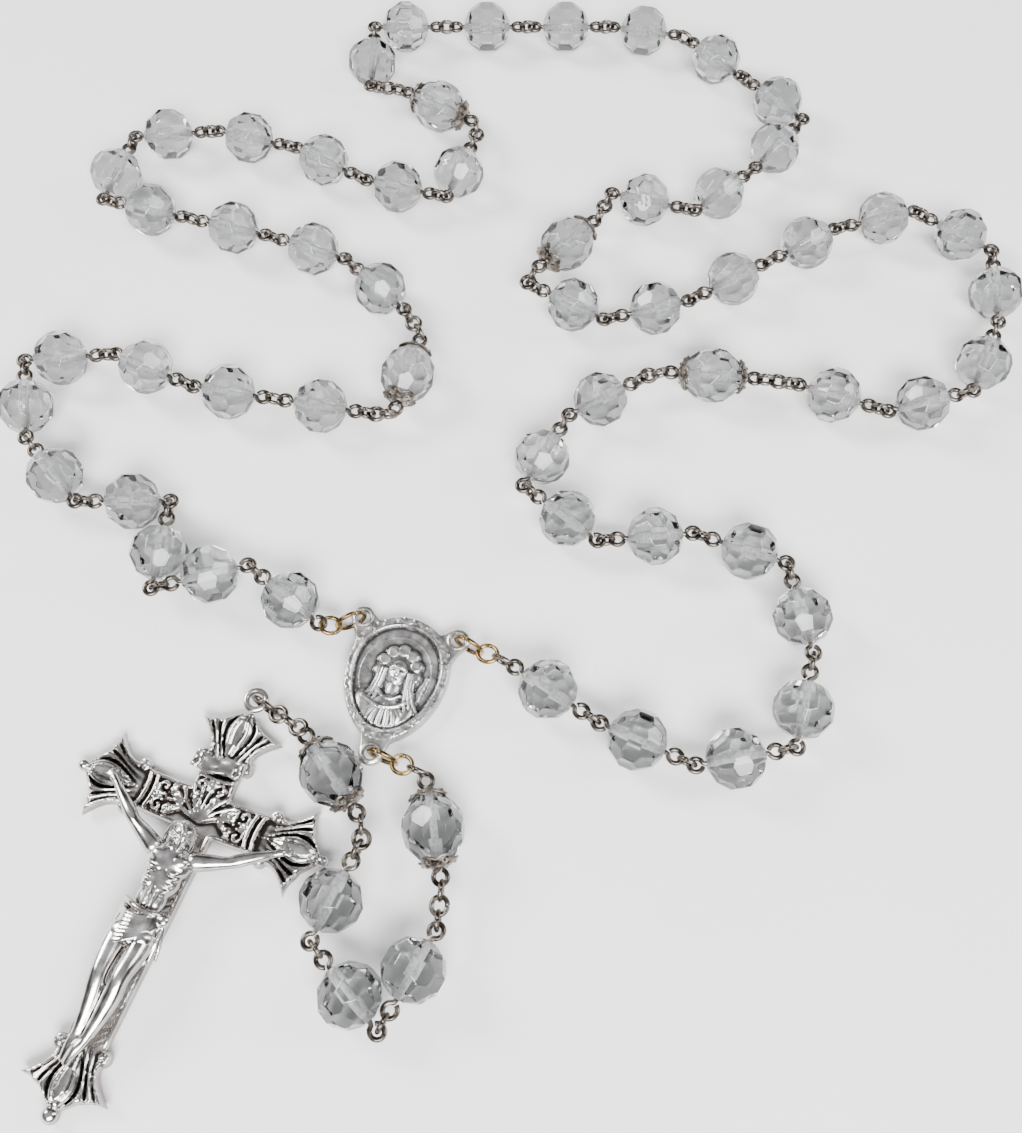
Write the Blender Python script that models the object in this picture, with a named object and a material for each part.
"""A five-decade rosary, laid out flat on a table.

Faceted glass beads sit on wire eye pins. The eyes are linked into three strands that hang from a
centre medal: the left strand holds decades 1, 2 and half of 3, the right strand holds decades 5,
4 and the rest of 3, and the pendant ends in a crucifix. Each bead, its pin and the links after it
are one solid, hinged at the centre of the link that it hangs in. Metres, +Z up, table at z = 0.
"""

import math

import bmesh
import bpy
from mathutils import Matrix, Vector

# ---- Beads
BEAD_RADIUS = 0.004
BEAD_POLE = 0.0039  # from the bead's middle to the flat round its hole
BEAD_POLE_RADIUS = 0.0009
BEAD_SIDES = 8
OUR_FATHER_HALF = 0.0050  # half its length, over the caps
CAP_REACH = 0.0034  # where a cap's rim lies, from the bead's middle

# ---- Wire, eyes and links. A loop's radius runs to the middle of its wire, at its flat end
WIRE = 0.0005
EYE_REACH = 0.00615  # bead's middle to the middle of an eye's end wire
OUR_FATHER_REACH = 0.0070
EYE_LENGTH = 0.00215
EYE_HALF_WIDTH = 0.00082
LINK_RADIUS = 0.0011
MEDAL_LINK_RADIUS = 0.0014
JUMP_RING_RADIUS = 0.0020
JUMP_RING_WIRE = 0.0006
GRIP = 0.0004  # between two hooked wires that are joined in one solid
HOOK = 0.00085  # between two hooked wires that move on each other
LOOP_SIDES = 8
EYE_SIDES = 6

# ---- Centre medal, in its own frame: X right, Y up, Z out of the table
MEDAL_HALF_WIDTH = 0.0069
MEDAL_HALF_HEIGHT = 0.00875
MEDAL_RISE = 0.00045  # how far the middle of its outline lies above its origin
MEDAL_SHOULDER = 0.13  # how much wider it is above its middle than below
MEDAL_THICKNESS = 0.0022
MEDAL_FIELD_DEPTH = 0.0007
MEDAL_FIELD_SCALE = 0.80
MEDAL_SIDES = 28
LUG_RADIUS = 0.0017
LUG_HOLE_RADIUS = 0.00085
LUG_FLOOR = 0.0014
LUG_SPREAD = 0.0066
LUG_UP = 0.0076
LUG_DOWN = 0.0101
LUG_SIDES = 12
MEDAL_PLACE = (-0.0155, 0.0545)
MEDAL_TURN = -15.0
RING_OUT = 0.0005  # jump ring's middle past the middle of the lug's rim
RING_HEIGHT = 0.0025

# ---- Crucifix, in its own frame: the beams cross at its origin, Y towards the title
BEAM_HALF = 0.00275
CROSS_THICKNESS = 0.0022
TOP_ARM = 0.0143
SIDE_ARM = 0.0168
FOOT_ARM = 0.0376
TIP_BALL_RADIUS = 0.0009
LOOP_RADIUS = 0.0013
LOOP_WIRE = 0.0009
LOOP_PLACE = 0.0158
LOOP_HEIGHT = 0.0019
RING_TO_LOOP = 0.0005 + LOOP_RADIUS  # big ring's middle to the loop's middle: its rim lies in the ring
CROSS_TURN = -21.5
FIGURE_GAP = 0.0003

# ---- How the strands lie: headings in degrees, counter-clockwise from +X. A tuple is an Our
# Father bead: the links before it, the bead, and the links after it
LEFT_LINKS = 205
DECADE_1 = (140, 195, 85, 180, 130, 100, 5, -25)
DECADE_1_END = -10
OUR_FATHER_1 = (0, 75, 120)
DECADE_2_START = (135, 160)
DECADE_2_MIDDLE = 165
DECADE_2_END = (75, 5, -15, -30, -15, 70)
OUR_FATHER_2 = (90, 150, 170)
DECADE_3_START = 90
DECADE_3_MIDDLE = 0
DECADE_3_HALF = (0, -10)
RIGHT_LINKS = -30
DECADE_5 = (-35, -25, 10, 75, 100, 160, 185, 140, 60, 30)
OUR_FATHER_4 = (15, -5, -10)
DECADE_4_END = (-20, 15, 65, 85, 145, 195)
DECADE_4_MIDDLE = 210
DECADE_4_START = (195, 150)
OUR_FATHER_3 = (65, 45, 65)
DECADE_3_END = (-15, 40, 50, 135, 135)
PENDANT_LINKS = -25
PENDANT_UPPER = (-80, -95)
PENDANT_BEADS = (-120, 130, 65)
PENDANT_LOWER = (95, 125, 145)

X_AXIS = Vector((1.0, 0.0, 0.0))


def clear_scene():
    for thing in list(bpy.data.objects):
        bpy.data.objects.remove(thing, do_unlink=True)


def finish_material(name, colour, roughness, metallic, transmission=0.0):
    material = bpy.data.materials.new(name)
    material.use_nodes = True
    shader = material.node_tree.nodes["Principled BSDF"]
    shader.inputs["Base Color"].default_value = (*colour, 1.0)
    shader.inputs["Roughness"].default_value = roughness
    shader.inputs["Metallic"].default_value = metallic
    shader.inputs["Transmission Weight"].default_value = transmission
    return material


def mesh_from(name, build):
    """A mesh made by a function that fills a bmesh, with every face turned outward."""
    shape = bmesh.new()
    build(shape)
    bmesh.ops.recalc_face_normals(shape, faces=shape.faces)
    mesh = bpy.data.meshes.new(name)
    shape.to_mesh(mesh)
    shape.free()
    return mesh


def bridge(shape, first, second):
    """Quads between two closed loops of the same number of vertices."""
    count = len(first)
    for k in range(count):
        after = (k + 1) % count
        shape.faces.new((first[k], first[after], second[after], second[k]))


def wire_loop(radius, half_width, wire, sides):
    """A flat loop of square wire round the origin, with a flat end at +X and at -X."""

    def build(shape):
        rows = []
        for grow, level in ((1, 1), (1, -1), (-1, -1), (-1, 1)):
            row = []
            for k in range(sides):
                angle = (k + 0.5) * math.tau / sides
                swell = 1.0 / math.cos(math.pi / sides)
                x = (radius + grow * wire / 2) * swell * math.cos(angle)
                y = (half_width + grow * wire / 2) * swell * math.sin(angle)
                row.append(shape.verts.new((x, y, level * wire / 2)))
            rows.append(row)
        for k in range(4):
            bridge(shape, rows[k], rows[(k + 1) % 4])

    return mesh_from("wire_loop", build)


def turned_solid(profile, sides):
    """A solid of revolution round X with facets staggered from ring to ring."""

    def build(shape):
        rings = []
        for index, (x, radius) in enumerate(profile):
            shift = 0.5 * (index % 2)
            ring = []
            for k in range(sides):
                angle = (k + shift) * math.tau / sides
                y = radius * math.sin(angle)
                z = radius * math.cos(angle)
                ring.append(shape.verts.new((x, y, z)))
            rings.append(ring)
        for index in range(len(rings) - 1):
            lead = index % 2
            for k in range(sides):
                after = (k + 1) % sides
                near, far = rings[index], rings[index + 1]
                if lead:
                    shape.faces.new((near[k], far[k], far[after]))
                    shape.faces.new((near[k], far[after], near[after]))
                else:
                    shape.faces.new((near[k], far[k], near[after]))
                    shape.faces.new((near[after], far[k], far[after]))
        shape.faces.new(rings[0])
        shape.faces.new(rings[-1])

    return mesh_from("turned_solid", build)


def bead_mesh():
    waist = 0.62 * BEAD_RADIUS
    waist_radius = math.sqrt(BEAD_RADIUS**2 - waist**2)
    profile = (
        (-BEAD_POLE, BEAD_POLE_RADIUS),
        (-waist, waist_radius),
        (0.0, BEAD_RADIUS),
        (waist, waist_radius),
        (BEAD_POLE, BEAD_POLE_RADIUS),
    )
    return turned_solid(profile, BEAD_SIDES)


def our_father_mesh():
    """The longer bead, with a cap's rim standing proud of the glass at both ends."""
    half = (
        (0.0, BEAD_RADIUS),
        (CAP_REACH - 0.0001, 0.0028),
        (CAP_REACH, 0.0031),
        (OUR_FATHER_HALF, BEAD_POLE_RADIUS),
    )
    left = [(-x, radius) for x, radius in reversed(half[1:])]
    return turned_solid((*left, *half), BEAD_SIDES)


def prism(outline, floor, top):
    """A solid between two heights over a closed outline of X, Y points."""

    def build(shape):
        low = [shape.verts.new((x, y, floor)) for x, y in outline]
        high = [shape.verts.new((x, y, top)) for x, y in outline]
        bridge(shape, low, high)
        shape.faces.new(low)
        shape.faces.new(high)

    return mesh_from("prism", build)


def disc(place, radius, floor, top, sides=LUG_SIDES):
    outline = []
    for k in range(sides):
        angle = k * math.tau / sides
        outline.append((place[0] + radius * math.cos(angle), place[1] + radius * math.sin(angle)))
    return prism(outline, floor, top)


def ball(place, size, segments=8, rings=5):
    """An ellipsoid of the given half sizes."""

    def build(shape):
        matrix = Matrix.Translation(place) @ Matrix.Diagonal((*size, 1.0))
        bmesh.ops.create_uvsphere(
            shape, u_segments=segments, v_segments=rings, radius=1.0, matrix=matrix
        )

    return mesh_from("ball", build)


def combine(base, others, operation="UNION"):
    """One mesh from a base mesh and others, joined or cut by Boolean modifiers."""
    collection = bpy.context.scene.collection
    target = bpy.data.objects.new("target", base)
    collection.objects.link(target)
    tools = []
    for mesh in others:
        tool = bpy.data.objects.new("tool", mesh)
        tool.hide_render = True
        tool.display_type = "WIRE"
        collection.objects.link(tool)
        tools.append(tool)
        modifier = target.modifiers.new(operation.lower(), "BOOLEAN")
        modifier.operation = operation
        modifier.solver = "EXACT"
        modifier.object = tool
    bpy.context.view_layer.update()
    graph = bpy.context.evaluated_depsgraph_get()
    result = bpy.data.meshes.new_from_object(target.evaluated_get(graph))
    for thing in (target, *tools):
        bpy.data.objects.remove(thing, do_unlink=True)
    return result


def rotated(vector, degrees):
    return Matrix.Rotation(math.radians(degrees), 3, "Z") @ vector


def placed_loop(mesh, centre, direction, standing):
    """Moves a wire loop so that its X runs along a direction, lying flat or standing on edge."""
    matrix = Matrix.Translation(centre) @ direction.to_track_quat("X", "Z").to_matrix().to_4x4()
    if standing:
        matrix = matrix @ Matrix.Rotation(math.pi / 2, 4, "X")
    mesh.transform(matrix)
    return mesh


class Chain:
    """Wire loops laid end to end from a point, each hooked in the one before."""

    def __init__(self, point, direction):
        self.end = point
        self.direction = direction
        self.centre = point
        self.pieces = []

    def add_link(self, radius, standing, hooked=GRIP, wire=WIRE):
        self.centre = self.end + self.direction * (radius - hooked)
        self.end = self.centre + self.direction * radius
        mesh = wire_loop(radius, radius, wire, LOOP_SIDES)
        self.pieces.append(placed_loop(mesh, self.centre, self.direction, standing))


def eye_mesh(end, direction, standing=False):
    """The loop of an eye pin: its end wire is at a point, and the direction leads away from it."""
    mesh = wire_loop(EYE_LENGTH / 2, EYE_HALF_WIDTH, WIRE, EYE_SIDES)
    return placed_loop(mesh, end + direction * EYE_LENGTH / 2, direction, standing)


class Unit:
    """A solid of the chain, and where the next one hangs in it."""

    def __init__(self, mesh, exit_centre, exit_turn):
        self.mesh = mesh
        self.exit_centre = exit_centre
        self.exit_turn = exit_turn


def hail_mary_unit(count=1, link_after=True):
    """One bead, or two in line, from the wire of the last link, which is the unit's origin."""
    eye = X_AXIS * -HOOK
    bead = bead_mesh()
    bead.transform(Matrix.Translation(eye + X_AXIS * EYE_REACH))
    others = []
    chain = None
    for number in range(count):
        if number:
            eye = chain.end - X_AXIS * GRIP
            extra = bead_mesh()
            extra.transform(Matrix.Translation(eye + X_AXIS * EYE_REACH))
            others.append(extra)
        far_eye = eye + X_AXIS * (2 * EYE_REACH)
        others.append(eye_mesh(eye, X_AXIS))
        others.append(eye_mesh(far_eye, -X_AXIS))
        chain = Chain(far_eye, X_AXIS)
        if link_after or number < count - 1:
            chain.add_link(LINK_RADIUS, standing=True)
            others += chain.pieces
    return Unit(combine(bead, others), chain.centre, 0.0)


def our_father_unit(turn_in, turn_out):
    """An Our Father bead between its small links, turned from the links before it."""
    entry = Chain(Vector((0.0, 0.0, 0.0)), X_AXIS)
    entry.add_link(LINK_RADIUS, standing=False, hooked=HOOK)
    entry.add_link(LINK_RADIUS, standing=True)
    eye = entry.end - X_AXIS * GRIP
    return bead_and_exit(entry.pieces, eye, turn_in, turn_out, OUR_FATHER_REACH, 3)


def bead_and_exit(pieces, eye, turn_in, turn_out, reach, links, upright_eye=False):
    """Adds a turned bead, its eyes and the links after it to the pieces of its entry."""
    along = rotated(X_AXIS, turn_in)
    middle = eye + along * reach
    is_plain = reach == EYE_REACH
    bead = bead_mesh() if is_plain else our_father_mesh()
    bead.transform(Matrix.Translation(middle) @ Matrix.Rotation(math.radians(turn_in), 4, "Z"))
    far_eye = middle + along * reach
    chain = Chain(far_eye, rotated(X_AXIS, turn_out))
    for number in range(links):
        chain.add_link(LINK_RADIUS, standing=number % 2 == 0)
    loops = [eye_mesh(eye, along, upright_eye), eye_mesh(far_eye, -along)]
    return Unit(combine(bead, loops + pieces + chain.pieces), chain.centre, turn_out)


def medal_unit(turn_in, links_in, reach, turn_out=0.0, links=1):
    """The jump ring of a lug, the links that climb to the bead's height, and the first bead."""
    level = BEAD_RADIUS - RING_HEIGHT
    length = JUMP_RING_RADIUS + links_in * 2 * MEDAL_LINK_RADIUS - (links_in + 1) * GRIP
    climb = math.asin(level / length)
    direction = Vector((math.cos(climb), 0.0, math.sin(climb)))
    ring = wire_loop(JUMP_RING_RADIUS, JUMP_RING_RADIUS, JUMP_RING_WIRE, LOOP_SIDES)
    placed_loop(ring, Vector((0.0, 0.0, 0.0)), direction, standing=True)
    entry = Chain(direction * JUMP_RING_RADIUS, direction)
    for number in range(links_in):
        entry.add_link(MEDAL_LINK_RADIUS, standing=number % 2 == 1)
    eye = entry.end - direction * GRIP
    upright = links_in % 2 == 1
    pieces = [ring, *entry.pieces]
    return bead_and_exit(pieces, eye, turn_in, turn_out, reach, links, upright)


def lower_our_father_unit(turn_in, turn_out):
    """The last bead of the pendant: its far eye stands, and three links drop to the crucifix."""
    entry = Chain(Vector((0.0, 0.0, 0.0)), X_AXIS)
    entry.add_link(LINK_RADIUS, standing=False, hooked=HOOK)
    entry.add_link(LINK_RADIUS, standing=True)
    eye = entry.end - X_AXIS * GRIP
    along = rotated(X_AXIS, turn_in)
    middle = eye + along * OUR_FATHER_REACH
    bead = our_father_mesh()
    bead.transform(Matrix.Translation(middle) @ Matrix.Rotation(math.radians(turn_in), 4, "Z"))
    far_eye = middle + along * OUR_FATHER_REACH
    to_ring = 3 * (2 * LINK_RADIUS - GRIP) - HOOK + JUMP_RING_RADIUS
    drop = math.asin((BEAD_RADIUS - RING_HEIGHT) / to_ring)
    flat = rotated(X_AXIS, turn_out) * math.cos(drop)
    direction = Vector((flat.x, flat.y, -math.sin(drop)))
    chain = Chain(far_eye, direction)
    for number in range(3):
        chain.add_link(LINK_RADIUS, standing=number % 2 == 1)
    loops = [eye_mesh(eye, along), eye_mesh(far_eye, -along, standing=True)]
    solid = combine(bead, loops + entry.pieces + chain.pieces)
    return Unit(solid, far_eye + direction * to_ring, turn_out)


def medal_outline(scale):
    points = []
    for k in range(MEDAL_SIDES):
        angle = k * math.tau / MEDAL_SIDES
        half = MEDAL_HALF_WIDTH * (1 + MEDAL_SHOULDER * math.sin(angle))
        x = scale * half * math.cos(angle)
        y = MEDAL_RISE + scale * MEDAL_HALF_HEIGHT * math.sin(angle)
        points.append((x, y))
    return points


def lug_places():
    return {
        "left": Vector((-LUG_SPREAD, LUG_UP, 0.0)),
        "right": Vector((LUG_SPREAD, LUG_UP, 0.0)),
        "low": Vector((0.0, -LUG_DOWN, 0.0)),
    }


def medal_mesh():
    plate = prism(medal_outline(1.0), 0.0, MEDAL_THICKNESS)
    parts = []
    for place in lug_places().values():
        parts.append(disc(place, LUG_RADIUS, LUG_FLOOR, MEDAL_THICKNESS - 0.00002))
        inward = -place.normalized()
        side = Vector((-inward.y, inward.x, 0.0)) * LUG_RADIUS * 0.92
        root = place + inward * 0.0032
        web = [(place - side)[:2], (root - side)[:2], (root + side)[:2], (place + side)[:2]]
        parts.append(prism(web, LUG_FLOOR, MEDAL_THICKNESS - 0.00004))
    solid = combine(plate, parts)
    field_floor = MEDAL_THICKNESS - MEDAL_FIELD_DEPTH
    cuts = [prism(medal_outline(MEDAL_FIELD_SCALE), field_floor, 0.004)]
    for place in lug_places().values():
        cuts.append(disc(place, LUG_HOLE_RADIUS, -0.001, 0.004))
    solid = combine(solid, cuts, "DIFFERENCE")
    head = ball((0.0003, 0.0018, field_floor), (0.0015, 0.0019, 0.0013))
    shoulders = ball((0.0, -0.0034, field_floor), (0.0040, 0.0030, 0.0009), segments=12)
    return combine(solid, [head, shoulders])


def palmette(length):
    """Half of an arm's outline, as distances out and across, from the beam to the petal's tip."""
    return (
        (length - 0.0078, BEAM_HALF),
        (length - 0.0074, 0.0035),
        (length - 0.0062, 0.0038),
        (length - 0.0055, 0.0032),
        (length - 0.0042, 0.0040),
        (length - 0.0026, 0.0056),
        (length - 0.0020, 0.0034),
        (length - 0.0008, 0.0018),
    )


def cross_outline():
    points = []
    arms = ((TOP_ARM, 90), (SIDE_ARM, 180), (FOOT_ARM, 270), (SIDE_ARM, 0))
    for length, heading in arms:
        half = palmette(length)
        arm = [(out, -across) for out, across in half]
        arm.append((length, 0.0))
        arm += [(out, across) for out, across in reversed(half)]
        corner = (BEAM_HALF, BEAM_HALF)
        for out, across in (*arm, corner):
            spot = rotated(Vector((out, across, 0.0)), heading)
            points.append((spot.x, spot.y))
    return points


def cross_mesh():
    beams = prism(cross_outline(), 0.0, CROSS_THICKNESS)
    parts = []
    tips = ((-SIDE_ARM, 0.0), (SIDE_ARM, 0.0), (0.0, -FOOT_ARM))
    for x, y in tips:
        place = (x, y, CROSS_THICKNESS / 2)
        parts.append(ball(place, (TIP_BALL_RADIUS,) * 3, segments=6, rings=4))
    loop = wire_loop(LOOP_RADIUS, LOOP_RADIUS, LOOP_WIRE, LOOP_SIDES)
    loop.transform(Matrix.Translation((0.0, LOOP_PLACE, LOOP_HEIGHT)))
    parts.append(loop)
    return combine(beams, parts)


def figure_bones():
    """The figure's joints in millimetres: name, joint it grows from, X, Y, height and radius."""
    return (
        ("hips", None, 0.0, -14.5, 4.6, 1.9),
        ("waist", "hips", 0.1, -12.0, 4.7, 1.5),
        ("chest", "waist", 0.3, -8.2, 5.0, 2.0),
        ("neck", "chest", 0.5, -5.4, 5.0, 1.1),
        ("head", "neck", 0.4, -3.6, 5.6, 1.6),
        ("crown", "head", 0.5, -1.9, 5.2, 1.3),
        ("left_shoulder", "chest", -2.7, -6.3, 4.8, 1.0),
        ("left_elbow", "left_shoulder", -6.6, -4.2, 4.3, 0.8),
        ("left_hand", "left_elbow", -11.7, -0.6, 3.6, 0.8),
        ("right_shoulder", "chest", 3.5, -6.0, 4.8, 1.0),
        ("right_elbow", "right_shoulder", 7.2, -4.2, 4.3, 0.8),
        ("right_hand", "right_elbow", 12.1, -0.9, 3.6, 0.8),
        ("left_knee", "hips", -0.1, -21.5, 5.2, 1.4),
        ("right_knee", "hips", 1.7, -21.8, 5.2, 1.4),
        ("left_foot", "left_knee", -0.7, -29.0, 3.8, 0.9),
        ("right_foot", "right_knee", 0.6, -29.4, 3.8, 0.9),
    )


def limb(start, end, start_radius, end_radius):
    """A six-sided tapered bar between two points."""
    axis = end - start
    matrix = Matrix.Translation(start) @ axis.to_track_quat("X", "Z").to_matrix().to_4x4()
    bar = turned_solid(((0.0, start_radius), (axis.length, end_radius)), 6)
    bar.transform(matrix)
    return bar


def figure_mesh():
    """Tapered bars along the bones with a ball at each joint, and flat behind, off the cross."""
    spots = {}
    parts = []
    for name, parent, x, y, z, radius in figure_bones():
        spot = Vector((x, y, z)) / 1000
        size = radius / 1000
        spots[name] = (spot, size)
        parts.append(ball(spot, (size,) * 3, segments=6, rings=4))
        if parent:
            origin, width = spots[parent]
            parts.append(limb(origin, spot, width * 0.92, size * 0.92))
    solid = combine(parts[0], parts[1:])
    back = CROSS_THICKNESS + FIGURE_GAP
    cut = prism(((-0.02, -0.04), (0.02, -0.04), (0.02, 0.01), (-0.02, 0.01)), -0.01, back)
    return combine(solid, [cut], "DIFFERENCE")


def scroll_mesh():
    """The title scroll: a strip with two risen ends, above the figure's head."""
    floor = CROSS_THICKNESS + FIGURE_GAP
    half, low, high = 0.0036, 0.0040, 0.0072

    def build(shape):
        rows = []
        for x, rise in ((-half, 0.0012), (-half / 2, 0.0004), (half / 2, 0.0004), (half, 0.0012)):
            bottom = floor
            top = floor + 0.0007 + rise
            corners = ((low, bottom), (high, bottom), (high, top), (low, top))
            rows.append([shape.verts.new((x, y, z)) for y, z in corners])
        for k in range(len(rows) - 1):
            bridge(shape, rows[k], rows[k + 1])
        shape.faces.new(rows[0])
        shape.faces.new(rows[-1])

    return mesh_from("scroll", build)


def add_object(name, mesh, material, parent=None, place=(0.0, 0.0, 0.0), turn=0.0):
    thing = bpy.data.objects.new(name, mesh)
    bpy.context.scene.collection.objects.link(thing)
    if mesh is not None:
        mesh.materials.clear()
        mesh.materials.append(material)
        mesh.set_sharp_from_angle(angle=math.radians(30))
    thing.parent = parent
    thing.location = place
    thing.rotation_euler = (0.0, 0.0, math.radians(turn))
    return thing


class Strand:
    """Units hung one after another, each on an empty at the centre of the link before it."""

    def __init__(self, material, parent, centre, turn):
        self.material = material
        self.parent = parent
        self.centre = centre
        self.turn = turn
        self.exit_heading = turn

    def joint(self, name, turn):
        return add_object("joint_" + name, None, None, self.parent, self.centre, turn)

    def hang(self, name, unit, heading, parent_heading):
        """Hangs a unit whose origin is the far wire of the last link."""
        pivot = self.joint(name, self.turn)
        mesh = unit.mesh.copy()
        place = (LINK_RADIUS, 0.0, 0.0)
        thing = add_object(name, mesh, self.material, pivot, place, heading - parent_heading)
        self.step_to(thing, unit, heading)

    def step_to(self, thing, unit, heading):
        self.parent = thing
        self.centre = unit.exit_centre
        self.turn = unit.exit_turn
        self.exit_heading = heading + unit.exit_turn

    def hang_beads(self, names, headings, unit):
        for name, heading in zip(names, headings):
            self.hang(name, unit, heading, self.exit_heading)

    def hang_our_father(self, name, headings):
        links_in, bead, links_out = headings
        unit = our_father_unit(bead - links_in, links_out - links_in)
        self.hang(name, unit, links_in, self.exit_heading)


def decade_names(decade, numbers):
    return [f"decade{decade}_bead{number}" for number in numbers]


def medal_strand(name, unit, lug, heading, glass, medal):
    """Starts a strand at a lug: the jump ring turns about its own middle."""
    turn = heading - MEDAL_TURN
    rim = (LUG_RADIUS + LUG_HOLE_RADIUS) / 2
    centre = lug_places()[lug] + rotated(X_AXIS, turn) * (rim + RING_OUT)
    centre.z = RING_HEIGHT
    pivot = add_object("joint_" + name, None, None, medal, centre, turn)
    thing = add_object(name, unit.mesh, glass, pivot)
    strand = Strand(glass, thing, unit.exit_centre, unit.exit_turn)
    strand.exit_heading = heading + unit.exit_turn
    return strand


def build_left(glass, medal, single, pair, last):
    first = medal_unit(
        DECADE_1[0] - LEFT_LINKS, 1, EYE_REACH, DECADE_1[0] - LEFT_LINKS
    )
    strand = medal_strand("decade1_bead1", first, "left", LEFT_LINKS, glass, medal)
    strand.hang_beads(decade_names(1, range(2, 9)), DECADE_1[1:], single)
    strand.hang_beads(["decade1_beads9_10"], [DECADE_1_END], pair)
    strand.hang_our_father("our_father_1", OUR_FATHER_1)
    strand.hang_beads(decade_names(2, (1, 2)), DECADE_2_START, single)
    strand.hang_beads(["decade2_beads3_4"], [DECADE_2_MIDDLE], pair)
    strand.hang_beads(decade_names(2, range(5, 11)), DECADE_2_END, single)
    strand.hang_our_father("our_father_2", OUR_FATHER_2)
    strand.hang_beads(["decade3_bead1"], [DECADE_3_START], single)
    strand.hang_beads(["decade3_beads2_3"], [DECADE_3_MIDDLE], pair)
    strand.hang_beads(["decade3_bead4"], DECADE_3_HALF[:1], single)
    strand.hang_beads(["decade3_bead5"], DECADE_3_HALF[1:], last)


def build_right(glass, medal, single, pair, last):
    first = medal_unit(
        DECADE_5[0] - RIGHT_LINKS, 2, EYE_REACH, DECADE_5[0] - RIGHT_LINKS
    )
    strand = medal_strand("decade5_bead10", first, "right", RIGHT_LINKS, glass, medal)
    strand.hang_beads(decade_names(5, range(9, 0, -1)), DECADE_5[1:], single)
    strand.hang_our_father("our_father_4", OUR_FATHER_4)
    strand.hang_beads(decade_names(4, range(10, 4, -1)), DECADE_4_END, single)
    strand.hang_beads(["decade4_beads3_4"], [DECADE_4_MIDDLE], pair)
    strand.hang_beads(decade_names(4, (2, 1)), DECADE_4_START, single)
    strand.hang_our_father("our_father_3", OUR_FATHER_3)
    strand.hang_beads(decade_names(3, range(10, 6, -1)), DECADE_3_END[:-1], single)
    strand.hang_beads(["decade3_bead6"], DECADE_3_END[-1:], last)


def build_pendant(glass, medal, silver, tarnished, single):
    bead, links_out = PENDANT_UPPER
    upper = medal_unit(
        bead - PENDANT_LINKS, 2, OUR_FATHER_REACH, links_out - PENDANT_LINKS, 3
    )
    strand = medal_strand("our_father_upper", upper, "low", PENDANT_LINKS, glass, medal)
    strand.hang_beads([f"pendant_bead{k}" for k in (1, 2, 3)], PENDANT_BEADS, single)
    links_in, bead, links_out = PENDANT_LOWER
    lower = lower_our_father_unit(bead - links_in, links_out - links_in)
    strand.hang("our_father_lower", lower, links_in, strand.exit_heading)
    build_crucifix(strand, silver, tarnished)


def build_crucifix(strand, silver, tarnished):
    pivot = strand.joint("crucifix_ring", strand.turn)
    ring_mesh = wire_loop(JUMP_RING_RADIUS, JUMP_RING_RADIUS, JUMP_RING_WIRE, LOOP_SIDES)
    ring_mesh.transform(Matrix.Rotation(math.pi / 2, 4, "X"))
    ring = add_object("crucifix_ring", ring_mesh, tarnished, pivot)
    turn = CROSS_TURN - strand.exit_heading
    loop_drop = LOOP_HEIGHT - RING_HEIGHT
    loop_centre = Vector((RING_TO_LOOP, 0.0, loop_drop))
    hinge = add_object("joint_crucifix", None, None, ring, loop_centre, turn)
    below = (0.0, -LOOP_PLACE, -LOOP_HEIGHT)
    cross = add_object("crucifix_cross", cross_mesh(), silver, hinge, below)
    add_object("crucifix_corpus", figure_mesh(), silver, cross)
    add_object("crucifix_title_scroll", scroll_mesh(), silver, cross)


def stand_on_origin(top):
    """Moves the whole rosary so that its box stands centred on the world's origin."""
    bpy.context.view_layer.update()
    low = Vector((math.inf,) * 3)
    high = Vector((-math.inf,) * 3)
    for thing in bpy.context.scene.objects:
        if thing.type != "MESH":
            continue
        for vertex in thing.data.vertices:
            spot = thing.matrix_world @ vertex.co
            low = Vector(map(min, low, spot))
            high = Vector(map(max, high, spot))
    top.location.x -= (low.x + high.x) / 2
    top.location.y -= (low.y + high.y) / 2
    top.location.z -= low.z
    bpy.context.view_layer.update()


def main():
    clear_scene()
    glass = finish_material("clear_glass", (0.90, 0.92, 0.93), 0.05, 0.0, transmission=0.9)
    satin = finish_material("satin_silver", (0.72, 0.71, 0.69), 0.35, 1.0)
    silver = finish_material("bright_silver", (0.80, 0.79, 0.78), 0.22, 1.0)
    tarnished = finish_material("tarnished_silver", (0.42, 0.39, 0.36), 0.35, 1.0)
    medal = add_object("centre_medal", medal_mesh(), satin)
    medal.location = (*MEDAL_PLACE, 0.0)
    medal.rotation_euler = (0.0, 0.0, math.radians(MEDAL_TURN))
    single = hail_mary_unit()
    pair = hail_mary_unit(count=2)
    last = hail_mary_unit(link_after=False)
    build_left(glass, medal, single, pair, last)
    build_right(glass, medal, single, pair, last)
    build_pendant(glass, medal, silver, tarnished, single)
    stand_on_origin(medal)


main()
